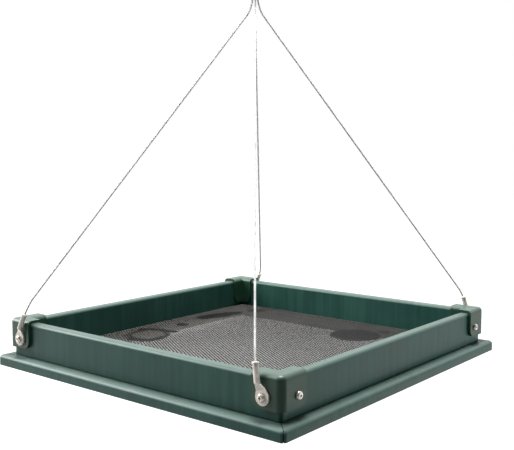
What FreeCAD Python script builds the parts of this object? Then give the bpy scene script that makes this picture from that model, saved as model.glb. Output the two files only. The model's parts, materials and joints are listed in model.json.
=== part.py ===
import FreeCAD, Part
import math
import os

V = FreeCAD.Vector
X_AXIS = V(1, 0, 0)
Y_AXIS = V(0, 1, 0)
Z_AXIS = V(0, 0, 1)

# Hanging platform bird feeder. The origin is the top of the ring's inside, where a hook carries it.
# +Z is up and X runs along the front wall. All sizes are in millimetres.

# Walls, and the largest share of a thickness that a rounded edge may take
frame_side = 381.0
wall_thickness = 12.7
wall_height = 38.1
wall_edge_radius = 3.2
wall_foot_radius = 2.0
wall_corner_radius = 4.0
wall_mitre_gap = 0.3
rounding_share = 0.45

# Base boards: the ledge is outside the walls, the lip inside them carries the screen
base_thickness = 11.0
base_ledge = 12.7
base_lip = 9.0
base_edge_radius = 4.0
base_corner_radius = 4.5
base_mitre_gap = 0.8

# Floor screen: its rim is turned down, so that the mesh lies above the lip
screen_thickness = 1.2
screen_rise = 2.8
screen_clearance = 0.5
screen_rim = 7.0
screen_gap_length = 36.0
screen_strand = 2.6
screen_strand_angle = 35.0

# Corner brackets
bracket_wall = 3.2
bracket_fit = 0.15
bracket_reach = 34.5
bracket_corner_radius = 7.0
bracket_top_radius = 4.6
bracket_leg_radius = 9.0
bracket_above_ledge = 10.0
bracket_above_screen = 3.8

# Screws in the brackets: along the wall from its corner, and up from the wall's foot
lug_screw_inset = 17.2
bracket_screw_inset = 19.5
screw_height = 20.7
screw_length = 13.0
lug_screw_diameter = 4.0
lug_screw_head = 8.0
bracket_screw_diameter = 3.5
bracket_screw_head = 8.0
head_height_share = 0.32
head_side_share = 0.35
head_flat_share = 0.4
head_shoulder_out = 0.86
head_shoulder_up = 0.78
recess_share = 0.55
hole_clearance = 0.05
recess_width = 1.0
recess_depth = 1.2

# Screws from below into the walls
base_screw_diameter = 3.5
base_screw_head = 7.0
base_screw_length = 25.0
base_screw_pitch = 125.0
base_screw_sink = 0.4

# Cable lugs: the neck bends outwards, the barrel leans back over the wall.
# Each lug has the lean along its wall that it has in the photograph.
lug_eye_diameter = 14.6
lug_plate = 1.6
lug_gap = 0.3
lug_pivot_clearance = 0.1
lug_bend_start = 6.5
lug_neck = 13.0
lug_neck_width = 4.6
lug_barrel_diameter = 5.4
lug_barrel_length = 18.0
lug_barrel_offset = 3.9
lug_barrel_tilt = 9.0
lug_bead = 0.6
lug_bead_length = 2.0
lug_lean = {"front_right": 14.0, "front_left": 20.0, "back_right": 14.0, "back_left": 30.0}

# Cables
cable_diameter = 2.0
cable_fit = 0.05
cable_end_gap = 1.0
cable_bend_run = 4.0
cable_bend_radius = 12.0
gather_radius = 11.0
gather_spacing = 2.5

# Crimp sleeve, top loop and hanging ring
hang_height = 409.5
gather_drop = 4.0
sleeve_length = 22.0
sleeve_wall = 1.6
sleeve_grip_gap = 3.0
sleeve_groove_depth = 0.5
sleeve_groove_width = 3.0
loop_clearance = 0.3
loop_drop = 7.0
ring_wire = 3.0
ring_inner_width = 21.0
ring_inner_height = 20.0
ring_corner_radius = 4.0

# Heights, worked down from the ring
cable_radius = cable_diameter / 2
bar_z = -(ring_inner_height + ring_wire / 2)
sleeve_top = bar_z - loop_drop
sleeve_bottom = sleeve_top - sleeve_length
gather_z = sleeve_bottom - gather_drop
base_bottom = gather_z - hang_height
base_top = base_bottom + base_thickness
wall_top = base_top + wall_height
screen_bottom = base_top + screen_rise
screen_top = screen_bottom + screen_thickness
screw_z = base_top + screw_height

# Distances from the middle
wall_out = frame_side / 2
wall_in = wall_out - wall_thickness
wall_middle = wall_out - wall_thickness / 2
base_out = wall_out + base_ledge
base_in = wall_in - base_lip
bracket_out = wall_out + bracket_fit + bracket_wall
bracket_in = wall_in - bracket_fit - bracket_wall
bracket_end = bracket_out - bracket_reach
lug_screw_along = wall_out - lug_screw_inset
bracket_screw_along = wall_out - bracket_screw_inset
lug_face = bracket_out + lug_gap

CORNERS = {
    "front_left": (-1, -1),
    "front_right": (1, -1),
    "back_right": (1, 1),
    "back_left": (-1, 1),
}
SIDES = ("right", "back", "left", "front")


def box(low, high):
    """A box between two opposite corners."""
    size = high - low
    return Part.makeBox(size.x, size.y, size.z, low)


def square_block(half, low, high, corner_radius=0.0):
    """A square block about the Z axis, with its upright edges rounded."""
    block = box(V(-half, -half, low), V(half, half, high))
    if corner_radius > 0:
        upright = [e for e in block.Edges if abs(e.tangentAt(e.FirstParameter).z) > 0.9]
        block = block.makeFillet(corner_radius, upright)
    return block


def same(first, second):
    """Whether two coordinates are the same place."""
    return abs(first - second) < 1e-6


def edges_at(shape, height):
    """The edges of a shape that lie in one level plane."""
    return [e for e in shape.Edges if same(e.BoundBox.ZMin, height) and same(e.BoundBox.ZMax, height)]


def mitre_wedge(gap, reach, low, high):
    """The quarter of the plan that belongs to the right-hand side, between two mitre planes with a gap."""
    start = gap * math.sqrt(0.5)
    outline = Part.makePolygon([
        V(start, 0, low), V(start + reach, -reach, low), V(start + reach, reach, low), V(start, 0, low)
    ])
    return Part.Face(outline).extrude(V(0, 0, high - low))


def turned(shape, degrees=90):
    """A copy of a shape turned about the Z axis, by a quarter turn if nothing else is said."""
    copy = shape.copy()
    copy.rotate(V(0, 0, 0), Z_AXIS, degrees)
    return copy


def on_side(shape, side):
    """A copy of a shape made for the right-hand side, on another side."""
    return turned(shape, 90 * SIDES.index(side))


def at_corner(shape, corner):
    """A copy of a shape made for the corner at +X and +Y, mirrored to another corner."""
    copy = shape.copy()
    if corner[0] < 0:
        copy = copy.mirror(V(0, 0, 0), X_AXIS)
    if corner[1] < 0:
        copy = copy.mirror(V(0, 0, 0), Y_AXIS)
    return copy


def round_topped_strip(inner, outer, low, high, radius, length):
    """A strip along Y whose two top edges are rounded: a wall, a saddle or the space inside one."""
    round_to = min(radius, rounding_share * (outer - inner))
    middle = round_to * (1 - math.sqrt(0.5))
    start = -length / 2
    corners = [V(inner, start, low), V(outer, start, low), V(outer, start, high - round_to)]
    outer_round = Part.Arc(
        corners[2], V(outer - middle, start, high - middle), V(outer - round_to, start, high)
    )
    inner_round = Part.Arc(
        V(inner + round_to, start, high), V(inner + middle, start, high - middle),
        V(inner, start, high - round_to)
    )
    edges = [
        Part.makeLine(corners[0], corners[1]),
        Part.makeLine(corners[1], corners[2]),
        outer_round.toShape(),
        Part.makeLine(V(outer - round_to, start, high), V(inner + round_to, start, high)),
        inner_round.toShape(),
        Part.makeLine(V(inner, start, high - round_to), corners[0]),
    ]
    return Part.Face(Part.Wire(edges)).extrude(V(0, length, 0))


def rounded_path(points, radii):
    """A wire of straight runs through the points, with a tangent arc at each inner point."""
    edges = []
    start = points[0]
    for before, corner, after, radius in zip(points, points[1:], points[2:], radii):
        back = (before - corner).normalize()
        ahead = (after - corner).normalize()
        turn = math.pi - back.getAngle(ahead)
        tangent = radius * math.tan(turn / 2)
        inward = (back + ahead).normalize()
        middle = corner + inward * (radius / math.cos(turn / 2) - radius)
        arc = Part.Arc(corner + back * tangent, middle, corner + ahead * tangent)
        edges.append(Part.makeLine(start, corner + back * tangent))
        edges.append(arc.toShape())
        start = corner + ahead * tangent
    edges.append(Part.makeLine(start, points[-1]))
    return Part.Wire(edges)


def tube(path, radius):
    """A round solid along a path of tangent lines and arcs."""
    first = path.OrderedEdges[0]
    begin = first.valueAt(first.FirstParameter)
    ahead = first.tangentAt(first.FirstParameter)
    section = Part.Wire(Part.makeCircle(radius, begin, ahead))
    return path.makePipeShell([section], True, False)


def right_wall():
    """One wall, mitred, drilled from below for the screws of its base board."""
    strip = round_topped_strip(wall_in, wall_out, base_top, wall_top, wall_edge_radius, 2 * wall_out)
    foot = [e for e in edges_at(strip, base_top) if abs(e.tangentAt(e.FirstParameter).y) > 0.9]
    strip = strip.makeFillet(min(wall_foot_radius, rounding_share * wall_thickness), foot)
    strip = strip.common(mitre_wedge(wall_mitre_gap, base_out, base_top, wall_top))
    strip = strip.common(square_block(wall_out, base_top, wall_top, wall_corner_radius))
    for y in base_screw_places():
        radius = base_screw_diameter / 2 + hole_clearance
        depth = base_bottom + base_screw_length + hole_clearance - base_top
        strip = strip.cut(Part.makeCylinder(radius, depth, V(wall_middle, y, base_top)))
    return strip


def side_wall(side):
    """A wall on its side, with pilot holes: front and back walls take the lug screws."""
    wall = on_side(right_wall(), side)
    takes_lugs = side in ("front", "back")
    shank = lug_screw_diameter if takes_lugs else bracket_screw_diameter
    depth = screw_length + hole_clearance
    for corner in CORNERS.values():
        hole = screw_hole(shank / 2 + hole_clearance, depth, takes_lugs)
        wall = wall.cut(at_corner(hole, corner))
    return wall


def screw_hole(radius, depth, in_lug_face):
    """The hole of a bracket screw at the +X and +Y corner, drilled inwards from the bracket's face."""
    if in_lug_face:
        return Part.makeCylinder(radius, depth, V(lug_screw_along, bracket_out, screw_z), -Y_AXIS)
    return Part.makeCylinder(radius, depth, V(bracket_out, bracket_screw_along, screw_z), -X_AXIS)


def base_screw_places():
    """Where the screws from below stand along a side."""
    return (-base_screw_pitch, 0.0, base_screw_pitch)


def base_screw_cone(clearance):
    """The countersunk head of a screw from below, or its seat when a clearance is given."""
    head = base_screw_head / 2 + clearance
    shank = base_screw_diameter / 2 + clearance
    return Part.makeCone(head, shank, head - shank, V(0, 0, base_bottom + base_screw_sink))


def base_boards():
    """The four base boards of a mitred frame, cut from one rounded block."""
    block = square_block(base_out, base_bottom, base_top, base_corner_radius)
    edge_radius = min(base_edge_radius, rounding_share * base_thickness)
    block = block.makeFillet(edge_radius, edges_at(block, base_top))
    block = block.cut(square_block(base_in, base_bottom, base_top))
    board = block.common(mitre_wedge(base_mitre_gap, 2 * base_out, base_bottom, base_top))
    head = base_screw_head / 2 + hole_clearance
    shank = base_screw_diameter / 2 + hole_clearance
    sink = Part.makeCylinder(head, base_screw_sink, V(0, 0, base_bottom))
    bore = Part.makeCylinder(shank, base_thickness, V(0, 0, base_bottom))
    seat = sink.fuse([base_screw_cone(hole_clearance), bore])
    for y in base_screw_places():
        placed = seat.copy()
        placed.translate(V(wall_middle, y, 0))
        board = board.cut(placed)
    return {side: on_side(board, side) for side in SIDES}


def base_screws():
    """All screws from below, as a group: countersunk head, shank and point."""
    radius = base_screw_diameter / 2
    tip = base_screw_diameter
    shank = Part.makeCylinder(radius, base_screw_length - tip, V(0, 0, base_bottom + base_screw_sink))
    point = Part.makeCone(
        radius, 0.0, tip - base_screw_sink, V(0, 0, base_bottom + base_screw_length - tip + base_screw_sink)
    )
    screw = base_screw_cone(0.0).fuse([shank, point])
    slot = box(
        V(-base_screw_head, -recess_width / 2, base_bottom),
        V(base_screw_head, recess_width / 2, base_bottom + base_screw_sink + recess_depth),
    )
    inside = Part.makeCylinder(base_screw_head / 2 * recess_share, base_thickness, V(0, 0, base_bottom))
    recess = slot.common(inside)
    screw = screw.cut(recess.fuse(turned(recess)))
    group = []
    for side in SIDES:
        for y in base_screw_places():
            placed = screw.copy()
            placed.translate(V(wall_middle, y, 0))
            group.append(on_side(placed, side))
    return Part.makeCompound(group)


def pan_head_screw(diameter, head, length):
    """A pan-head screw on the Z axis: the head stands above z = 0, the shank below it."""
    radius = diameter / 2
    head_radius = head / 2
    height = head * head_height_share
    side = height * head_side_share
    flat = head_radius * head_flat_share
    shoulder = V(head_radius * head_shoulder_out, 0, height * head_shoulder_up)
    dome = Part.Arc(V(head_radius, 0, side), shoulder, V(flat, 0, height))
    outline = [
        Part.makeLine(V(0, 0, -length), V(radius, 0, -length + diameter)),
        Part.makeLine(V(radius, 0, -length + diameter), V(radius, 0, 0)),
        Part.makeLine(V(radius, 0, 0), V(head_radius, 0, 0)),
        Part.makeLine(V(head_radius, 0, 0), V(head_radius, 0, side)),
        dome.toShape(),
        Part.makeLine(V(flat, 0, height), V(0, 0, height)),
        Part.makeLine(V(0, 0, height), V(0, 0, -length)),
    ]
    screw = Part.Face(Part.Wire(outline)).revolve(V(0, 0, 0), Z_AXIS, 360)
    arm = head_radius * recess_share
    slot = box(V(-arm, -recess_width / 2, height - recess_depth), V(arm, recess_width / 2, height))
    return screw.cut(slot.fuse(turned(slot)))


def lug_screws():
    """The four screws that the lugs turn on, on the front and back faces."""
    screw = pan_head_screw(lug_screw_diameter, lug_screw_head, screw_length + lug_gap + lug_plate + lug_gap)
    screw.rotate(V(0, 0, 0), X_AXIS, -90)
    screw.translate(V(lug_screw_along, lug_face + lug_plate + lug_gap, screw_z))
    return Part.makeCompound([at_corner(screw, corner) for corner in CORNERS.values()])


def bracket_screws():
    """The four plain screws, on the left and right faces."""
    screw = pan_head_screw(bracket_screw_diameter, bracket_screw_head, screw_length)
    screw.rotate(V(0, 0, 0), Y_AXIS, 90)
    screw.translate(V(bracket_out, bracket_screw_along, screw_z))
    return Part.makeCompound([at_corner(screw, corner) for corner in CORNERS.values()])


def bracket():
    """A moulded saddle over the wall corner at +X and +Y, with rounded legs outside and inside."""
    top = wall_top + bracket_fit + bracket_wall
    outer_low = base_top + bracket_above_ledge
    inner_low = screen_top + bracket_above_screen
    corner_square = box(V(bracket_end, bracket_end, inner_low), V(bracket_out, bracket_out, top))
    leg = round_topped_strip(bracket_in, bracket_out, inner_low, top, bracket_top_radius, 2 * bracket_out)
    rounded = square_block(bracket_out, inner_low, top, bracket_corner_radius)
    rounded = rounded.makeFillet(bracket_top_radius, edges_at(rounded, top))
    under_outer_legs = square_block(2 * bracket_out, inner_low, outer_low)
    under_outer_legs = under_outer_legs.cut(square_block(wall_middle, inner_low, outer_low))
    body = leg.fuse(turned(leg)).common(rounded).common(corner_square)
    body = body.cut(under_outer_legs).removeSplitter()
    length = 2 * (wall_out + bracket_fit)
    space = round_topped_strip(
        wall_in - bracket_fit, wall_out + bracket_fit, base_bottom, wall_top + bracket_fit,
        wall_edge_radius + bracket_fit, length
    )
    body = body.cut(space.fuse(turned(space)))
    body = body.makeFillet(bracket_leg_radius, leg_ends(body, outer_low) + leg_ends(body, inner_low))
    body = body.cut(screw_hole(lug_screw_diameter / 2 + hole_clearance, screw_length, True))
    return body.cut(screw_hole(bracket_screw_diameter / 2 + hole_clearance, screw_length, False))


def leg_ends(body, height):
    """The short level edges at the foot of a bracket's legs, at the two ends away from the corner."""
    return [
        e for e in edges_at(body, height)
        if same(e.BoundBox.XMax, bracket_end) or same(e.BoundBox.YMax, bracket_end)
    ]


def lug_outline():
    """The lug's front view in the XZ plane: a teardrop round the screw, drawn in to the neck."""
    eye = lug_eye_diameter / 2
    half = lug_neck_width / 2
    to_neck = math.hypot(half, lug_neck)
    towards = math.atan2(lug_neck, half) - math.acos(eye / to_neck)
    side = V(eye * math.cos(towards), 0, eye * math.sin(towards))
    top = lug_neck + lug_barrel_diameter / 2
    return Part.Wire([
        Part.Arc(side, V(0, 0, -eye), V(-side.x, 0, side.z)).toShape(),
        Part.makeLine(V(-side.x, 0, side.z), V(-half, 0, lug_neck)),
        Part.makeLine(V(-half, 0, lug_neck), V(-half, 0, top)),
        Part.makeLine(V(-half, 0, top), V(half, 0, top)),
        Part.makeLine(V(half, 0, top), V(half, 0, lug_neck)),
        Part.makeLine(V(half, 0, lug_neck), side),
    ])


def lug_strip():
    """The lug's side view as a strip: flat at the eye, bent outwards to the middle of the barrel's foot."""
    eye = lug_eye_diameter / 2
    out = lug_barrel_offset - lug_plate / 2
    top = lug_neck + lug_barrel_diameter / 2
    inner = [V(-eye, 0, -eye), V(-eye, 0, lug_bend_start), V(-eye, out, lug_neck), V(-eye, out, top)]
    outer = [point + V(0, lug_plate, 0) for point in reversed(inner)]
    return Part.Face(Part.makePolygon(inner + outer + inner[:1])).extrude(V(lug_eye_diameter, 0, 0))


def lug(lean):
    """A cable lug at the +X and +Y corner: an eye on the screw, a bent neck and a barrel with a bead."""
    barrel = lug_barrel_diameter / 2
    reach = V(0, lug_barrel_offset + lug_plate, 0)
    plate = lug_strip().common(Part.Face(lug_outline()).extrude(reach))
    foot = V(0, lug_barrel_offset, lug_neck)
    tilt = math.radians(lug_barrel_tilt)
    ahead = V(0, -math.sin(tilt), math.cos(tilt))
    tube_body = Part.makeCylinder(barrel, lug_barrel_length, foot, ahead)
    bead_start = foot + ahead * (lug_barrel_length - lug_bead_length)
    bead = Part.makeCylinder(barrel + lug_bead, lug_bead_length, bead_start, ahead)
    rims = [e for e in bead.Edges if e.Closed]
    bead = bead.makeFillet(rounding_share * lug_bead_length, rims)
    pivot = lug_screw_diameter / 2 + lug_pivot_clearance
    eye_hole = Part.makeCylinder(pivot, lug_plate, V(0, 0, 0), Y_AXIS)
    bore_start = foot + ahead * lug_barrel_diameter
    bore = Part.makeCylinder(cable_radius + cable_fit, lug_barrel_length, bore_start, ahead)
    body = plate.fuse([tube_body, bead]).cut(eye_hole).cut(bore).removeSplitter()
    body.rotate(V(0, 0, 0), Y_AXIS, -lean)
    body.translate(V(lug_screw_along, lug_face, screw_z))
    return body


def barrel_point(lean, distance):
    """A point on the axis of a lug's barrel at the +X and +Y corner, so far from the barrel's foot."""
    tilt = math.radians(lug_barrel_tilt)
    place = V(0, lug_barrel_offset - distance * math.sin(tilt), lug_neck + distance * math.cos(tilt))
    turn = FreeCAD.Rotation(Y_AXIS, -lean)
    return V(lug_screw_along, lug_face, screw_z) + turn.multVec(place)


def cable_points(lean):
    """The route of the cable from the +X and +Y corner: out of the lug, over to the gathering point, up."""
    gather = V(gather_spacing / 2, gather_spacing / 2, gather_z)
    return [
        barrel_point(lean, lug_barrel_diameter + cable_end_gap),
        barrel_point(lean, lug_barrel_length + cable_bend_run),
        gather,
        V(gather.x, gather.y, sleeve_bottom + sleeve_grip()),
    ]


def sleeve_grip():
    """How deep the cables and the loop sit in the sleeve."""
    return (sleeve_length - sleeve_grip_gap) / 2


def cable(name):
    """One cable as a tube at the +X and +Y corner, with its measurements printed."""
    path = rounded_path(cable_points(lug_lean[name]), [cable_bend_radius, gather_radius])
    solid = tube(path, cable_radius)
    expected = math.pi * cable_radius ** 2 * path.Length
    print(
        f"{name} cable: length {path.Length:.1f}, radii {cable_bend_radius} and {gather_radius}, "
        f"volume {solid.Volume:.1f} of {expected:.1f}"
    )
    return solid


def loop_radius():
    """The centre line of the top loop, round the ring's bar."""
    return ring_wire / 2 + loop_clearance + cable_radius


def top_loop():
    """A short bight of cable over the ring's bar, with both ends in the sleeve."""
    radius = loop_radius()
    foot = sleeve_top - sleeve_grip()
    edges = [
        Part.makeLine(V(0, -radius, foot), V(0, -radius, bar_z)),
        Part.Arc(V(0, -radius, bar_z), V(0, 0, bar_z + radius), V(0, radius, bar_z)).toShape(),
        Part.makeLine(V(0, radius, bar_z), V(0, radius, foot)),
    ]
    return tube(Part.Wire(edges), cable_radius)


def crimp_sleeve():
    """The sleeve that grips the four cables from below and the loop from above, with two swaged grooves."""
    radius = loop_radius() + cable_radius + sleeve_wall
    sleeve = Part.makeCylinder(radius, sleeve_length, V(0, 0, sleeve_bottom))
    rims = edges_at(sleeve, sleeve_top) + edges_at(sleeve, sleeve_bottom)
    sleeve = sleeve.makeFillet(sleeve_groove_depth, rims)
    for share in (1, 2):
        low = sleeve_bottom + share * sleeve_length / 3 - sleeve_groove_width / 2
        outside = Part.makeCylinder(2 * radius, sleeve_groove_width, V(0, 0, low))
        waist = Part.makeCylinder(radius - sleeve_groove_depth, sleeve_groove_width, V(0, 0, low))
        sleeve = sleeve.cut(outside.cut(waist))
    bore = cable_radius + cable_fit
    depth = sleeve_grip() + cable_fit
    for corner in CORNERS.values():
        place = V(corner[0] * gather_spacing / 2, corner[1] * gather_spacing / 2, sleeve_bottom)
        sleeve = sleeve.cut(Part.makeCylinder(bore, depth, place))
    for side in (-1, 1):
        place = V(0, side * loop_radius(), sleeve_top - depth)
        sleeve = sleeve.cut(Part.makeCylinder(bore, depth, place))
    return sleeve


def hanging_ring():
    """A welded wire ring with a straight bar below, for the loop, and a round top for the hook."""
    wire = ring_wire / 2
    half = ring_inner_width / 2 + wire
    bend = ring_corner_radius
    top = wire
    spring = top - half
    lean = bend * math.sqrt(0.5)
    left_bend = Part.Arc(
        V(-half, 0, bar_z + bend), V(-half + bend - lean, 0, bar_z + bend - lean), V(-half + bend, 0, bar_z)
    )
    right_bend = Part.Arc(
        V(half - bend, 0, bar_z), V(half - bend + lean, 0, bar_z + bend - lean), V(half, 0, bar_z + bend)
    )
    crown = Part.Arc(V(half, 0, spring), V(0, 0, top), V(-half, 0, spring))
    edges = [
        Part.makeLine(V(0, 0, bar_z), V(half - bend, 0, bar_z)),
        right_bend.toShape(),
        Part.makeLine(V(half, 0, bar_z + bend), V(half, 0, spring)),
        crown.toShape(),
        Part.makeLine(V(-half, 0, spring), V(-half, 0, bar_z + bend)),
        left_bend.toShape(),
        Part.makeLine(V(-half + bend, 0, bar_z), V(0, 0, bar_z)),
    ]
    return tube(Part.Wire(edges), wire)


def floor_screen():
    """The floor as one holed sheet: staggered diamonds between strands, coarser than the real mesh."""
    half = wall_in - screen_clearance
    field = half - screen_rim
    angle = math.radians(screen_strand_angle)
    length = screen_gap_length
    width = length * math.tan(angle)
    gap_half_length = (length - screen_strand / math.sin(angle)) / 2
    gap_half_width = (width - screen_strand / math.cos(angle)) / 2
    columns = int((field - gap_half_length) / (length / 2))
    rows = int((field - gap_half_width) / (width / 2))
    low = screen_bottom
    corners = [V(-half, -half, low), V(half, -half, low), V(half, half, low), V(-half, half, low)]
    wires = [Part.makePolygon(corners + corners[:1])]
    for column in range(-columns, columns + 1):
        for row in range(-rows, rows + 1):
            if (column + row) % 2:
                continue
            middle = V(column * length / 2, row * width / 2, low)
            tips = [
                middle + V(gap_half_length, 0, 0), middle + V(0, -gap_half_width, 0),
                middle + V(-gap_half_length, 0, 0), middle + V(0, gap_half_width, 0)
            ]
            wires.append(Part.makePolygon(tips + tips[:1]))
    print(f"screen: {len(wires) - 1} gaps")
    sheet = Part.Face(wires, "Part::FaceMakerBullseye").extrude(V(0, 0, screen_thickness))
    rim = square_block(half, base_top, low).cut(square_block(half - screen_thickness, base_top, low))
    return sheet.fuse(rim).removeSplitter()


def build():
    """Every piece of the feeder, by its name."""
    pieces = {"hanging_ring": hanging_ring(), "top_loop": top_loop(), "crimp_sleeve": crimp_sleeve()}
    for side, board in base_boards().items():
        pieces[f"{side}_base_board"] = board
        pieces[f"{side}_wall"] = side_wall(side)
    pieces["floor_screen"] = floor_screen()
    saddle = bracket()
    for name, corner in CORNERS.items():
        pieces[f"{name}_bracket"] = at_corner(saddle, corner)
        pieces[f"{name}_lug"] = at_corner(lug(lug_lean[name]), corner)
        pieces[f"{name}_cable"] = at_corner(cable(name), corner)
    pieces["lug_screws"] = lug_screws()
    pieces["bracket_screws"] = bracket_screws()
    pieces["base_screws"] = base_screws()
    return pieces


os.makedirs("parts", exist_ok=True)
for node, shape in build().items():
    shape.exportStep(f"parts/{node}.step")
    print(f"{node}: {len(shape.Solids)} solid, volume {shape.Volume:.1f}, valid {shape.isValid()}")
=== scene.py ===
import bpy
import json
import math
import numpy as np
from mathutils import Matrix, Vector


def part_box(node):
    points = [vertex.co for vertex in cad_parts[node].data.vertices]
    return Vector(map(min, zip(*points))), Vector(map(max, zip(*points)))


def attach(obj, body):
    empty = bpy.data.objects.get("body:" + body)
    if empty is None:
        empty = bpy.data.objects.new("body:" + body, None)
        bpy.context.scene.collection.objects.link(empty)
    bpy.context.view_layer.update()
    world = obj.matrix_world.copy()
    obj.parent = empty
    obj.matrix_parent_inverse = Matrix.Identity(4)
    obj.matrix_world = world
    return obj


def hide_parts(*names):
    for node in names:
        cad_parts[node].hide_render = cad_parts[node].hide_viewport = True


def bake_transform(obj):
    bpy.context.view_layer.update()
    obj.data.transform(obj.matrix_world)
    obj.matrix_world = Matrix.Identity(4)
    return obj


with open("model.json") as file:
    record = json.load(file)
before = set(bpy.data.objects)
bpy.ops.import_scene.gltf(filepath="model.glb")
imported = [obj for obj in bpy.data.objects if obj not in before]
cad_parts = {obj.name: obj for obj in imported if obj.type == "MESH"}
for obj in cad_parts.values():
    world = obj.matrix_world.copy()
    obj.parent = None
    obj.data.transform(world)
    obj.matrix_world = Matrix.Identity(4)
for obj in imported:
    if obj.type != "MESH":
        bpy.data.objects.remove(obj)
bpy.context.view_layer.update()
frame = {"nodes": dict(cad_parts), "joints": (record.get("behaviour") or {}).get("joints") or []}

# A hanging platform bird feeder. Lengths are in metres, angles in degrees, and colours are linear.

MM = 0.001
CORNERS = {
    "front_left": (-1, -1),
    "front_right": (1, -1),
    "back_right": (1, 1),
    "back_left": (-1, 1),
}
SIDES = ("front", "right", "back", "left")

# Places in the frame
BASE_LOW, BASE_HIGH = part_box("front_base_board")
UNDERSIDE = BASE_LOW.z
SCREEN_LOW, SCREEN_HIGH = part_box("floor_screen")
SLEEVE_LOW, SLEEVE_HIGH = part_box("crimp_sleeve")
RING_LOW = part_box("hanging_ring")[0]

# The photograph's picture and its camera: the focal length and the optical axis are in pixels
PICTURE_WIDTH = 514
FOCAL_PIXELS = 831.14
AXIS_COLUMN = 300.0
SENSOR_WIDTH_MM = 36.0
CAMERA_PLACE = Vector((0.61425, -0.72135, UNDERSIDE + 0.24423))
CAMERA_TURN = 37.333
CAMERA_DOWN = 5.478
CAMERA_ROLL = 0.221

# Stranded cable: the wires' lay, their number, and how finely they are drawn
CABLE_DIAMETER = 2.0 * MM
CABLE_LAY = 16.0 * MM
CABLE_WIRES = 12
CABLE_STEPS = 16
WIRE_SIDES = 6
ROUTE_RESOLUTION = 24

# The cables' routes, with the solids' values. Two kinds of points are moved to follow the photograph:
# the front left bend is 6 mm further along than in the solids, and the gathering point 11.5 mm lower.
LUG_LEAN = {"front_right": 14.0, "front_left": 20.0, "back_right": 14.0, "back_left": 30.0}
LUG_NECK = 13.0 * MM
BARREL_OFFSET = 3.9 * MM
BARREL_TILT = 9.0
BARREL_LENGTH = 18.0 * MM
CABLE_START = 6.4 * MM
CABLE_BEND = {
    "front_right": 22.0 * MM,
    "front_left": 28.0 * MM,
    "back_right": 22.0 * MM,
    "back_left": 22.0 * MM,
}
GATHER_OFFSET = 1.25 * MM
GATHER_DROP = 15.5 * MM
SLEEVE_GRIP = 9.5 * MM
LOOP_RADIUS = 2.8 * MM
RING_WIRE = 3.0 * MM

# The stretch of cable that would bend with its lug, from just above the barrel's mouth to the end of this
# run: the route works out its two ends, but nothing uses them
MOUTH_GAP = 2.0 * MM
BLEND_RUN = 60.0 * MM

# Floor net: two layers of strands that cross and are fused where they meet.
# Each layer has its angle to the front wall, and its strands' width, height and depth below the top.
NET_PITCH = 3.31 * MM
NET_LAYERS = ((-31.0, 1.9 * MM, 0.85 * MM, 0.43 * MM), (31.0, 1.4 * MM, 0.52 * MM, 0.85 * MM))
NET_DROP = 0.5 * MM
NET_STEP = 9.0 * MM
NET_SIDES = 6
NET_RIM = 0.8 * MM
NET_RIM_DROP = 0.6 * MM

# Dark marks on the net: place, half length and half width in mm, turn, and how dark they are
NET_MARKS = (
    (63.0, 113.0, 32.0, 31.0, 0.0, 0.75),
    (-136.0, -42.0, 36.0, 27.0, 127.0, 0.95),
    (-129.0, -14.0, 13.0, 6.0, 37.0, 0.95),
    (-146.0, 96.0, 38.0, 14.0, 73.0, 1.0),
    (-144.0, 24.0, 9.0, 8.0, 0.0, 0.95),
    (-128.0, 150.0, 14.0, 10.0, 40.0, 0.75),
    (84.0, 147.0, 9.0, 8.0, 0.0, 0.6),
    (60.0, 18.0, 34.0, 9.0, 35.0, 0.2),
    (0.0, 122.0, 34.0, 10.0, 0.0, 0.22),
    (-48.0, 12.0, 12.0, 8.0, 50.0, 0.18),
)
# The pale middle of the ring-shaped mark, and a pale strip of painted light along the left wall, in the same
# form
NET_PALE_MARK = (-136.0, -42.0, 22.0, 21.0, 0.0, 0.8)
NET_PAINTED_LIGHT = (-168.0, 20.0, 62.0, 170.0, 0.0, 1.0)

# Marks darker than this also narrow the net's gaps: extra strands lie between those of the lower layer
NET_FILL_DARKNESS = 0.35
NET_FILL = (31.0, 1.0 * MM, 0.45 * MM, 0.85 * MM)
NET_FILL_STEP = 1.5 * MM

# A dark blade of painted shade in the mitres of the base boards: its width, how far it stays below the
# boards' faces, and the boards' radii round their upright corner and along their top edge
MITRE_WIDTH = 0.74 * MM
MITRE_SINK = 0.45 * MM
BASE_CORNER_RADIUS = 4.5 * MM
BASE_EDGE_RADIUS = 4.0 * MM
MITRE_ARC_STEPS = 6

# The pale film on the plastic, dust and wear with painted light on what faces up, and the plastic's sheen
WEAR_AND_LIGHT_COLOUR = (0.145, 0.193, 0.172, 1.0)
SHEEN = {"Sheen Weight": 0.3, "Sheen Roughness": 0.22, "Sheen Tint": (0.85, 1.0, 0.95, 1.0)}

# Stage: the floor, then each light's place from the middle of the underside, its size, its watts and
# whether the surfaces mirror it
FLOOR_SIZE = 8.0
FLOOR_DROP = 0.35
FLOOR_GREY = 0.42
FLOOR_GLOW = 0.5
FLOOR_FADE = (0.5, 2.0)
LIGHTS = {
    "left": ((-1.6, -0.85, 1.1), 1.4, 53.0, True),
    "overhead": ((0.0, 0.0, 1.6), 0.5, 41.0, True),
    "right": ((1.0, 0.9, -0.1), 0.4, 7.0, False),
}

# The studio's white behind the object and on the photographer's side: how much the world lights matt faces
# from there, how bright shiny faces mirror it, and the turn (as a cosine) over which one goes into the other
WORLD_MATT = (0.25, 0.08)
FLOOR_MATT = (0.0, 0.0)
WHITE_MIRRORED = (1.0, 0.05)
MATT_TURN = (-0.2, 0.7)
MIRRORED_TURN = (-0.15, 0.5)


# Mesh helpers

def link(obj):
    bpy.context.scene.collection.objects.link(obj)
    return obj


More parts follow.
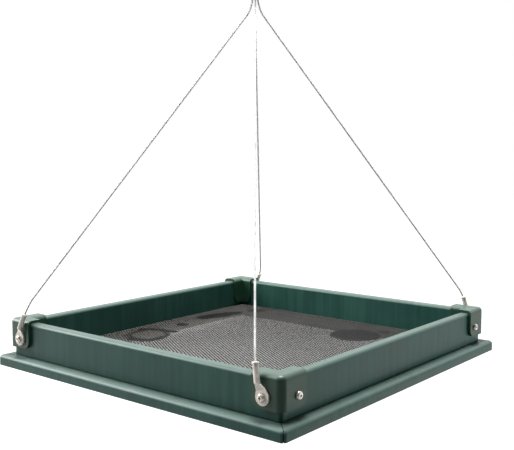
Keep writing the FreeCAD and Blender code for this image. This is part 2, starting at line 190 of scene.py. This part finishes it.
def mesh_object(name, vertices, faces, smooth=True):
    """A mesh piece from vertices and faces."""
    mesh = bpy.data.meshes.new(name)
    mesh.from_pydata([tuple(v) for v in vertices], [], faces)
    mesh.update()
    mesh.polygons.foreach_set("use_smooth", [smooth] * len(mesh.polygons))
    return link(bpy.data.objects.new(name, mesh))


def joined(parts):
    """The vertices and faces of several parts as one mesh."""
    vertices, faces, count = [], [], 0
    for part_vertices, part_faces in parts:
        vertices.append(part_vertices)
        faces += [tuple(count + i for i in face) for face in part_faces]
        count += len(part_vertices)
    return np.concatenate(vertices), faces


def tube_faces(rings, sides):
    """The faces of a closed tube whose vertices lie in rings, one ring after the other."""
    faces = []
    for i in range(rings - 1):
        for k in range(sides):
            n = (k + 1) % sides
            faces.append((i * sides + k, i * sides + n, (i + 1) * sides + n, (i + 1) * sides + k))
    faces.append(tuple(reversed(range(sides))))
    faces.append(tuple(range((rings - 1) * sides, rings * sides)))
    return faces


# Node helpers

def new_material(name):
    """A node material, its tree and its Principled shader."""
    material = bpy.data.materials.new(name)
    material.use_nodes = True
    tree = material.node_tree
    return material, tree, tree.nodes["Principled BSDF"]


def add(tree, kind, settings=None, **inputs):
    """A node with its settings and its input values or links.

    In an input's name underscores stand for spaces, and _0 is the first socket.
    """
    node = tree.nodes.new(kind)
    for key, value in (settings or {}).items():
        setattr(node, key, value)
    for key, value in inputs.items():
        wire(tree, node.inputs[int(key[1:]) if key[1:].isdigit() else key.replace("_", " ")], value)
    return node


def wire(tree, socket, value):
    """Sets a socket's value, or links an output to it."""
    if isinstance(value, bpy.types.NodeSocket):
        tree.links.new(value, socket)
    else:
        socket.default_value = value


def place(tree, scale=(1.0, 1.0, 1.0)):
    """Coordinates in the frame, scaled."""
    where = add(tree, "ShaderNodeTexCoord").outputs["Object"]
    return add(tree, "ShaderNodeMapping", Vector=where, Scale=scale).outputs["Vector"]


def noise(tree, vector, scale, detail=3.0, roughness=0.55):
    node = add(tree, "ShaderNodeTexNoise", Vector=vector, Scale=scale, Detail=detail, Roughness=roughness)
    return node.outputs["Fac"]


def span(tree, value, low, high, to_low=0.0, to_high=1.0):
    """A value mapped from one span to another, and clamped."""
    node = add(tree, "ShaderNodeMapRange", Value=value)
    for key, number in (("From Min", low), ("From Max", high), ("To Min", to_low), ("To Max", to_high)):
        node.inputs[key].default_value = number
    return node.outputs["Result"]


def calc(tree, operation, first, second=0.0):
    node = add(tree, "ShaderNodeMath", {"operation": operation}, _0=first, _1=second)
    return node.outputs["Value"]


def vector_calc(tree, operation, first, second=(0.0, 0.0, 0.0)):
    node = add(tree, "ShaderNodeVectorMath", {"operation": operation}, _0=first, _1=second)
    return node.outputs["Value" if operation in ("LENGTH", "DOT_PRODUCT") else "Vector"]


def mix(tree, factor, first, second):
    """A colour mixed from two colours."""
    node = add(tree, "ShaderNodeMix", {"data_type": "RGBA"}, _0=factor, _6=first, _7=second)
    return node.outputs[2]


def number_mix(tree, factor, first, second):
    node = add(tree, "ShaderNodeMix", _0=factor, _2=first, _3=second)
    return node.outputs[0]


def bump(tree, height, strength, distance, normal=None):
    node = add(tree, "ShaderNodeBump", Height=height, Strength=strength, Distance=distance)
    if normal is not None:
        tree.links.new(normal, node.inputs["Normal"])
    return node.outputs["Normal"]


def set_values(shader, values):
    for name, value in values.items():
        shader.inputs[name].default_value = value


# Materials

def wear_and_painted_light(tree, most):
    """How much pale film lies on a face, dust and wear with painted light: most of it on what faces up."""
    normal = add(tree, "ShaderNodeTexCoord").outputs["Normal"]
    up = add(tree, "ShaderNodeSeparateXYZ", Vector=normal).outputs["Z"]
    patchy = span(tree, noise(tree, place(tree, (40.0, 40.0, 40.0)), 1.0, 3.0), 0.3, 0.7, 0.75, 1.0)
    return calc(tree, "MULTIPLY", span(tree, up, 0.1, 0.8, 0.0, most), patchy)


def board_material():
    """Dark green poly board: streaks down its faces, a little mottling and a fine grain."""
    material, tree, shader = new_material("green_board")
    dark_green, light_green = (0.009, 0.050, 0.038, 1.0), (0.023, 0.086, 0.068, 1.0)
    streaks = noise(tree, place(tree, (150.0, 150.0, 5.0)), 1.0, 4.0, 0.6)
    mottle = noise(tree, place(tree), 14.0, 3.0)
    grain = noise(tree, place(tree), 1400.0, 2.0)
    shade = calc(tree, "ADD", calc(tree, "MULTIPLY", streaks, 0.6), calc(tree, "MULTIPLY", mottle, 0.4))
    colour = mix(tree, span(tree, shade, 0.35, 0.65), dark_green, light_green)
    # Pale film on what faces up: dust and wear, and painted light
    wire(tree, shader.inputs["Base Color"], mix(tree, wear_and_painted_light(tree, 0.7), colour, WEAR_AND_LIGHT_COLOUR))
    wire(tree, shader.inputs["Roughness"], span(tree, shade, 0.3, 0.7, 0.34, 0.44))
    ripple = noise(tree, place(tree, (60.0, 60.0, 14.0)), 1.0, 2.0)
    normal = bump(tree, grain, 0.18, 0.2 * MM)
    wire(tree, shader.inputs["Normal"], bump(tree, ripple, 0.25, 0.6 * MM, normal))
    set_values(shader, {"Specular IOR Level": 0.3, **SHEEN})
    return material


def moulding_material():
    """Smooth darker green plastic of the corner brackets."""
    material, tree, shader = new_material("green_moulding")
    dark_green, light_green = (0.012, 0.050, 0.027, 1.0), (0.017, 0.062, 0.036, 1.0)
    cloud = noise(tree, place(tree), 55.0, 3.0)
    grain = noise(tree, place(tree), 2200.0, 2.0)
    colour = mix(tree, span(tree, cloud, 0.35, 0.65), dark_green, light_green)
    # Pale film on what faces up: dust and wear, and painted light
    wire(tree, shader.inputs["Base Color"], mix(tree, wear_and_painted_light(tree, 0.6), colour, WEAR_AND_LIGHT_COLOUR))
    wire(tree, shader.inputs["Roughness"], span(tree, cloud, 0.3, 0.7, 0.34, 0.44))
    wire(tree, shader.inputs["Normal"], bump(tree, grain, 0.1, 0.1 * MM))
    set_values(shader, {"Specular IOR Level": 0.45, **SHEEN})
    return material


def painted_shade_material():
    """Dark, dull painted shade for the blade in a joint."""
    material, tree, shader = new_material("mitre_painted_shade")
    darker_shade, lighter_shade = (0.003, 0.009, 0.007, 1.0), (0.007, 0.018, 0.014, 1.0)
    blade_speckle = noise(tree, place(tree), 900.0, 3.0)
    wire(tree, shader.inputs["Base Color"], mix(tree, span(tree, blade_speckle, 0.3, 0.7), darker_shade, lighter_shade))
    wire(tree, shader.inputs["Normal"], bump(tree, blade_speckle, 0.4, 0.2 * MM))
    set_values(shader, {"Roughness": 0.95, "Specular IOR Level": 0.1})
    return material


def mark(tree, where, x, y, length, width, turn, depth):
    """A soft oval mark on the net, from 0 outside it to its depth inside."""
    wobble = span(tree, noise(tree, where, 60.0, 2.0), 0.3, 0.7, -0.16, 0.16)
    local = add(
        tree, "ShaderNodeMapping", {"vector_type": "TEXTURE"}, Vector=where, Location=(x * MM, y * MM, 0.0),
        Rotation=(0.0, 0.0, math.radians(turn)), Scale=(length * MM, width * MM, 1.0)
    ).outputs["Vector"]
    away = vector_calc(tree, "LENGTH", vector_calc(tree, "MULTIPLY", local, (1.0, 1.0, 0.0)))
    return span(tree, calc(tree, "ADD", away, wobble), 1.08, 0.86, 0.0, depth)


def net_material():
    """Dark grey coated net with a pale strip of painted light along one side, and dark marks."""
    material, tree, shader = new_material("dark_screen")
    dark_grey, light_grey = (0.028, 0.0267, 0.0253, 1.0), (0.040, 0.0385, 0.037, 1.0)
    speckle, painted_light_colour, dark_mark_colour = (0.05, 0.0485, 0.047, 1.0), (0.075, 0.0715, 0.066, 1.0), (0.006, 0.007, 0.007, 1.0)
    where = place(tree)
    cloud = noise(tree, where, 18.0, 4.0)
    fine = noise(tree, where, 260.0, 3.0)
    colour = mix(tree, span(tree, cloud, 0.3, 0.7), dark_grey, light_grey)
    colour = mix(tree, span(tree, fine, 0.45, 0.75, 0.0, 0.35), colour, speckle)
    # Painted light: a pale strip along the left wall, a painted reflection of the bright surroundings
    colour = mix(tree, mark(tree, where, *NET_PAINTED_LIGHT), colour, painted_light_colour)
    dark = 0.0
    for values in NET_MARKS:
        dark = calc(tree, "MAXIMUM", dark, mark(tree, where, *values))
    dark = calc(tree, "MULTIPLY", dark, calc(tree, "SUBTRACT", 1.0, mark(tree, where, *NET_PALE_MARK)))
    wire(tree, shader.inputs["Base Color"], mix(tree, dark, colour, dark_mark_colour))
    wire(tree, shader.inputs["Roughness"], span(tree, fine, 0.3, 0.7, 0.62, 0.75))
    set_values(shader, {"Specular IOR Level": 0.2})
    return material


def steel_material(name, colour, rough, scale, metallic):
    """Steel with fine drawn lines and small dull spots. The less metallic it is, the more matt its skin."""
    material, tree, shader = new_material(name)
    lines = noise(tree, place(tree, (1.0, 1.0, 0.25)), scale, 4.0, 0.65)
    spots = noise(tree, place(tree), scale * 0.2, 2.0)
    darker = tuple(c * 0.78 for c in colour[:3]) + (1.0,)
    wire(tree, shader.inputs["Base Color"], mix(tree, span(tree, spots, 0.35, 0.65), darker, colour))
    wire(tree, shader.inputs["Roughness"], span(tree, lines, 0.3, 0.7, rough - 0.07, rough + 0.09))
    wire(tree, shader.inputs["Normal"], bump(tree, lines, 0.12, 0.1 * MM))
    set_values(shader, {"Metallic": metallic})
    return material


# Cords

def route_line(name, points):
    """Points along the smooth line of a route: a NURBS spline with the route's points."""
    curve = bpy.data.curves.new(name, "CURVE")
    curve.dimensions = "3D"
    spline = curve.splines.new("NURBS")
    spline.points.add(len(points) - 1)
    for knot, point in zip(spline.points, points):
        knot.co = (*point, 1.0)
    spline.order_u = 3
    spline.use_endpoint_u = True
    spline.resolution_u = ROUTE_RESOLUTION
    holder = link(bpy.data.objects.new(name, curve))
    bpy.context.view_layer.update()
    mesh = bpy.data.meshes.new_from_object(holder)
    line = np.array([v.co for v in mesh.vertices], float)
    bpy.data.objects.remove(holder)
    bpy.data.curves.remove(curve)
    bpy.data.meshes.remove(mesh)
    return line


def run_lengths(line):
    """The lengths of a line's runs, from each of its points to the next."""
    return np.linalg.norm(np.diff(line, axis=0), axis=1)


def evenly(line, step):
    """The same line with points a step apart, and how far along it each of them lies."""
    along = np.concatenate([[0.0], np.cumsum(run_lengths(line))])
    count = max(2, int(round(along[-1] / step)) + 1)
    where = np.linspace(0.0, along[-1], count)
    return np.stack([np.interp(where, along, line[:, axis]) for axis in range(3)], axis=1), where


def side_frames(line):
    """Two directions square to a line at each of its points, carried along without twist."""
    ahead = np.gradient(line, axis=0)
    ahead /= np.linalg.norm(ahead, axis=1)[:, None]
    first = np.cross(ahead[0], [1.0, 0.0, 0.0] if abs(ahead[0][0]) < 0.9 else [0.0, 1.0, 0.0])
    sides = []
    for direction in ahead:
        first = first - direction * np.dot(first, direction)
        first /= np.linalg.norm(first)
        sides.append(first.copy())
    across = np.array(sides)
    return across, np.cross(ahead, across)


def tube_mesh(line, radius, sides):
    """Vertices and faces of a closed round tube along a line."""
    across, up = side_frames(line)
    turn = np.linspace(0.0, 2.0 * math.pi, sides, endpoint=False)
    ring = np.cos(turn)[None, :, None] * across[:, None, :] + np.sin(turn)[None, :, None] * up[:, None, :]
    return (line[:, None, :] + radius * ring).reshape(-1, 3), tube_faces(len(line), sides)


def rope(name, line):
    """A stranded cable along a line: touching wires laid round a core."""
    even, along = evenly(line, CABLE_LAY / CABLE_STEPS)
    across, up = side_frames(even)
    share = math.sin(math.pi / CABLE_WIRES)
    wire_radius = CABLE_DIAMETER / 2 * share / (1.0 + share)
    lay_radius = CABLE_DIAMETER / 2 - wire_radius
    parts = [tube_mesh(even, lay_radius, CABLE_WIRES)]
    for k in range(CABLE_WIRES):
        turn = 2.0 * math.pi * (along / CABLE_LAY + k / CABLE_WIRES)
        helix = even + lay_radius * (np.cos(turn)[:, None] * across + np.sin(turn)[:, None] * up)
        parts.append(tube_mesh(helix, wire_radius, WIRE_SIDES))
    return mesh_object(name, *joined(parts))


def cable_route(name):
    """The cable's route: out of the lug, over to the gathering point and up into the sleeve.

    The long run is straight in the photograph, so it has a point near each of its ends. The two ends of the
    stretch that would bend with the lug come with the route, though nothing bends it.
    """
    sx, sy = CORNERS[name]
    joint = next(j for j in frame["joints"] if j["child"] == f"{name}_lug")
    pivot = Vector(joint["pos_m"])
    tilt = math.radians(BARREL_TILT)
    lean = Matrix.Rotation(math.radians(-sx * LUG_LEAN[name]), 3, "Y")
    foot = pivot + lean @ Vector((0.0, sy * BARREL_OFFSET, LUG_NECK))
    along = lean @ Vector((0.0, -sy * math.sin(tilt), math.cos(tilt)))
    gather = Vector((sx * GATHER_OFFSET, sy * GATHER_OFFSET, SLEEVE_LOW.z - GATHER_DROP))
    start = foot + along * CABLE_START
    bend = foot + along * CABLE_BEND[name]
    end = Vector((gather.x, gather.y, SLEEVE_LOW.z + SLEEVE_GRIP))
    run = (gather - bend).normalized()
    near_bend = bend + run * (bend - start).length
    near_gather = gather - run * (end - gather).length
    mouth = foot + along * (BARREL_LENGTH + MOUTH_GAP)
    return [start, bend, near_bend, near_gather, gather, end], mouth, bend + run * BLEND_RUN


def build_cord(name, node, points, steel):
    """A rope along a route, which stands for a cable of the solids."""
    line = route_line(f"{name}_route", points)
    piece = rope(f"{name}_rope", line)
    piece.data.materials.append(steel)
    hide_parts(node)
    return piece


def build_cables(steel):
    for name in CORNERS:
        points, mouth, free = cable_route(name)
        piece = build_cord(name, f"{name}_cable", points, steel)
        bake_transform(piece)


def build_loop(steel):
    """The bight of cable over the ring's bar."""
    bar = RING_LOW.z + RING_WIRE / 2
    foot = SLEEVE_HIGH.z - SLEEVE_GRIP
    heights = (foot, bar - LOOP_RADIUS, bar + LOOP_RADIUS)
    points = [Vector((0.0, -LOOP_RADIUS, z)) for z in heights]
    points += [Vector((0.0, LOOP_RADIUS, z)) for z in reversed(heights)]
    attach(build_cord("loop", "top_loop", points, steel), "tray")


# Floor net

def net_lift(x, y):
    """How the loosely laid net rises and falls, in two waves of less than a fifth of a millimetre."""
    waves = 0.16 * np.sin(31.0 * x + 1.3) * np.cos(27.0 * y - 0.4)
    waves += 0.12 * np.sin(17.0 * (x + y) + 0.7)
    return waves * MM


def clipped(offset, angle, half):
    """A line of the plan, as a point and a direction, and where along it the square begins and ends."""
    direction = np.array([math.cos(angle), math.sin(angle)])
    foot = offset * np.array([-direction[1], direction[0]])
    low, high = -math.inf, math.inf
    for axis in range(2):
        a = (-half - foot[axis]) / direction[axis]
        b = (half - foot[axis]) / direction[axis]
        low, high = max(low, min(a, b)), min(high, max(a, b))
    return foot, direction, low, high


def net_strand(foot, direction, low, high, width, thickness, height):
    """One strand of the net: a flattened bar that follows the net's rise and fall."""
    count = max(2, int((high - low) / NET_STEP) + 1)
    along = np.linspace(low, high, count)
    x, y = (foot[axis] + along * direction[axis] for axis in range(2))
    line = np.stack([x, y, height + net_lift(x, y)], axis=1)
    across = np.array([-direction[1], direction[0], 0.0])
    turn = np.linspace(0.0, 2.0 * math.pi, NET_SIDES, endpoint=False)
    ring = 0.5 * (width * np.cos(turn)[:, None] * across + thickness * np.sin(turn)[:, None] * [0, 0, 1])
    return (line[:, None, :] + ring[None]).reshape(-1, 3), tube_faces(count, NET_SIDES)


def net_rim(half, low, high):
    """The turned-down rim: a square band that stands on the base boards' lip."""
    inner = half - NET_RIM
    rings = [(half, low), (half, high), (inner, high), (inner, low)]
    vertices = [(sx * r, sy * r, z) for r, z in rings for sx, sy in CORNERS.values()]
    faces = []
    for i in range(4):
        j = (i + 1) % 4
        for k in range(4):
            n = (k + 1) % 4
            faces.append((i * 4 + k, i * 4 + n, j * 4 + n, j * 4 + k))
    return np.array(vertices), faces


def inside(mark_values, x, y):
    """Which points of the plan lie in an oval mark."""
    mark_x, mark_y, length, width, turn, _ = mark_values
    cos, sin = math.cos(math.radians(turn)), math.sin(math.radians(turn))
    right, up = x - mark_x * MM, y - mark_y * MM
    along = (right * cos + up * sin) / (length * MM)
    across = (up * cos - right * sin) / (width * MM)
    return along ** 2 + across ** 2 < 1.0


def marked_stretches(foot, direction, low, high):
    """The stretches of a line that lie in the darker marks, as pairs of distances along it."""
    along = np.arange(low, high, NET_FILL_STEP)
    x, y = (foot[axis] + along * direction[axis] for axis in range(2))
    filled = np.any([inside(m, x, y) for m in NET_MARKS if m[-1] > NET_FILL_DARKNESS], axis=0)
    edges = np.flatnonzero(np.diff(filled.astype(int), prepend=0, append=0))
    return [(along[a], along[b - 1]) for a, b in zip(edges[::2], edges[1::2]) if b - a > 2]


def build_net(material):
    half = SCREEN_HIGH.x
    top = SCREEN_HIGH.z - NET_DROP
    parts = []
    for layer in (*NET_LAYERS, NET_FILL):
        degrees, width, thickness, depth = layer
        angle = math.radians(degrees)
        lines = int(half * (abs(math.sin(angle)) + abs(math.cos(angle))) / NET_PITCH)
        for i in range(-lines, lines):
            offset = (i + 0.5 if layer is NET_FILL else i) * NET_PITCH
            foot, direction, low, high = clipped(offset, angle, half - NET_RIM / 2)
            if high - low < 2 * width:
                continue
            stretches = marked_stretches(foot, direction, low, high) if layer is NET_FILL else [(low, high)]
            for stretch in stretches:
                parts.append(net_strand(foot, direction, *stretch, width, thickness, top - depth))
    parts.append(net_rim(half, SCREEN_LOW.z, top - NET_RIM_DROP))
    piece = mesh_object("floor_net", *joined(parts))
    piece.data.materials.append(material)
    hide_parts("floor_screen")
    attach(piece, "tray")


# Painted shade in the base's mitres

def build_mitre_painted_shade(material):
    """A thin upright dark blade of painted shade in the mitre at each corner, cut to the boards' rounded
    section.
    """
    diagonal = math.sqrt(2.0)
    inner = -BASE_HIGH.y * diagonal + MITRE_SINK
    outer = (-BASE_LOW.y - BASE_CORNER_RADIUS) * diagonal + BASE_CORNER_RADIUS - MITRE_SINK
    bottom, top = BASE_LOW.z + MITRE_SINK, BASE_HIGH.z - MITRE_SINK
    radius = BASE_EDGE_RADIUS - MITRE_SINK
    outline = [(inner, bottom), (outer, bottom)]
    for turn in np.linspace(0.0, math.pi / 2, MITRE_ARC_STEPS):
        outline.append((outer + radius * (math.cos(turn) - 1.0), top + radius * (math.sin(turn) - 1.0)))
    outline.append((inner, top))
    parts = []
    for sx, sy in CORNERS.values():
        ahead = Vector((sx, sy, 0.0)) / diagonal
        across = Vector((-sy, sx, 0.0)) / diagonal
        blade = []
        for side in (MITRE_WIDTH / 2, -MITRE_WIDTH / 2):
            blade += [ahead * away + across * side + Vector((0.0, 0.0, z)) for away, z in outline]
        parts.append((blade, tube_faces(2, len(outline))))
    piece = mesh_object("base_mitre_painted_shade", *joined(parts), smooth=False)
    piece.data.materials.append(material)
    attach(piece, "tray")


# Finish of the CAD nodes

def paint(nodes, material):
    for name in nodes:
        obj = frame["nodes"][name]
        obj.data.materials.clear()
        obj.data.materials.append(material)


# Stage

def studio_white(tree, vector, matt):
    """How bright the studio's white is: full for the camera, and dim on the photographer's side otherwise."""
    level = vector_calc(tree, "NORMALIZE", vector_calc(tree, "MULTIPLY", vector, (1.0, 1.0, 0.0)))
    turn = math.radians(CAMERA_TURN)
    facing = vector_calc(tree, "DOT_PRODUCT", level, (math.sin(turn), -math.cos(turn), 0.0))
    path = add(tree, "ShaderNodeLightPath").outputs
    mirrored = calc(tree, "MAXIMUM", path["Is Glossy Ray"], path["Is Transmission Ray"])
    matt_white = span(tree, facing, *MATT_TURN, *matt)
    mirrored_white = span(tree, facing, *MIRRORED_TURN, *WHITE_MIRRORED)
    strength = number_mix(tree, mirrored, matt_white, mirrored_white)
    return number_mix(tree, path["Is Camera Ray"], strength, 1.0)


def build_floor():
    height = UNDERSIDE - FLOOR_DROP
    corners = [(x * FLOOR_SIZE, y * FLOOR_SIZE, height) for x, y in CORNERS.values()]
    floor = mesh_object("floor", corners, [(0, 1, 2, 3)])
    material, tree, shader = new_material("pale_floor")
    tree.nodes.remove(shader)
    diffuse = add(tree, "ShaderNodeBsdfDiffuse", Color=(FLOOR_GREY, FLOOR_GREY, FLOOR_GREY, 1.0))
    where = add(tree, "ShaderNodeTexCoord").outputs["Object"]
    fade = span(tree, vector_calc(tree, "LENGTH", where), *FLOOR_FADE, FLOOR_GLOW, 1.0)
    white = calc(tree, "MULTIPLY", studio_white(tree, where, FLOOR_MATT), fade)
    glow = add(tree, "ShaderNodeEmission", Color=(1.0, 1.0, 1.0, 1.0), Strength=white)
    both = add(tree, "ShaderNodeAddShader", _0=diffuse.outputs["BSDF"], _1=glow.outputs["Emission"])
    tree.links.new(both.outputs["Shader"], tree.nodes["Material Output"].inputs["Surface"])
    floor.data.materials.append(material)


def build_world():
    world = bpy.data.worlds.new("studio")
    bpy.context.scene.world = world
    world.use_nodes = True
    tree = world.node_tree
    tree.nodes.clear()
    direction = add(tree, "ShaderNodeTexCoord").outputs["Generated"]
    white = studio_white(tree, direction, WORLD_MATT)
    glow = add(tree, "ShaderNodeBackground", Color=(1.0, 1.0, 1.0, 1.0), Strength=white)
    out = add(tree, "ShaderNodeOutputWorld")
    tree.links.new(glow.outputs["Background"], out.inputs["Surface"])


def area_light(name, place_at, aim, size, power, mirrored):
    data = bpy.data.lights.new(name, "AREA")
    data.shape = "DISK"
    data.size = size
    data.energy = power
    lamp = link(bpy.data.objects.new(name, data))
    lamp.visible_camera = False
    lamp.visible_glossy = mirrored
    lamp.location = place_at
    lamp.rotation_euler = (aim - place_at).to_track_quat("-Z", "Y").to_euler()


def build_lights():
    tray = Vector((0.0, 0.0, UNDERSIDE))
    for name, (away, size, power, mirrored) in LIGHTS.items():
        area_light(name, tray + Vector(away), tray, size, power, mirrored)


def build_camera():
    """The photograph's camera. Its optical axis stands right of the picture's middle, so it is shifted."""
    turn, down, roll = (math.radians(x) for x in (CAMERA_TURN, CAMERA_DOWN, CAMERA_ROLL))
    ahead = Vector((-math.sin(turn) * math.cos(down), math.cos(turn) * math.cos(down), -math.sin(down)))
    level = Vector((math.cos(turn), math.sin(turn), 0.0))
    right = level * math.cos(roll) + level.cross(ahead) * math.sin(roll)
    up = right.cross(ahead)
    data = bpy.data.cameras.new("camera")
    data.sensor_fit = "HORIZONTAL"
    data.sensor_width = SENSOR_WIDTH_MM
    data.lens = FOCAL_PIXELS / PICTURE_WIDTH * SENSOR_WIDTH_MM
    data.shift_x = (PICTURE_WIDTH / 2 - AXIS_COLUMN) / PICTURE_WIDTH
    camera = link(bpy.data.objects.new("camera", data))
    axes = Matrix((right, up, -ahead)).transposed()
    camera.matrix_world = Matrix.Translation(CAMERA_PLACE) @ axes.to_4x4()
    bpy.context.scene.camera = camera


build_camera()
cable_steel = steel_material("cable_steel", (0.9, 0.9, 0.89, 1.0), 0.5, 900.0, 0.05)
lug_steel = steel_material("lug_steel", (0.86, 0.80, 0.725, 1.0), 0.4, 700.0, 0.1)
fitting_steel = steel_material("fitting_steel", (0.87, 0.81, 0.745, 1.0), 0.28, 700.0, 0.7)
build_cables(cable_steel)
build_loop(cable_steel)
build_net(net_material())
# A dark blade of painted shade in each mitre of the base boards
build_mitre_painted_shade(painted_shade_material())
paint([f"{side}_{part}" for side in SIDES for part in ("base_board", "wall")], board_material())
paint([f"{corner}_bracket" for corner in CORNERS], moulding_material())
paint([f"{corner}_lug" for corner in CORNERS], lug_steel)
paint(["lug_screws", "bracket_screws", "base_screws", "crimp_sleeve", "hanging_ring"], fitting_steel)
build_floor()
build_world()
build_lights()
bpy.context.scene.view_settings.view_transform = "Standard"
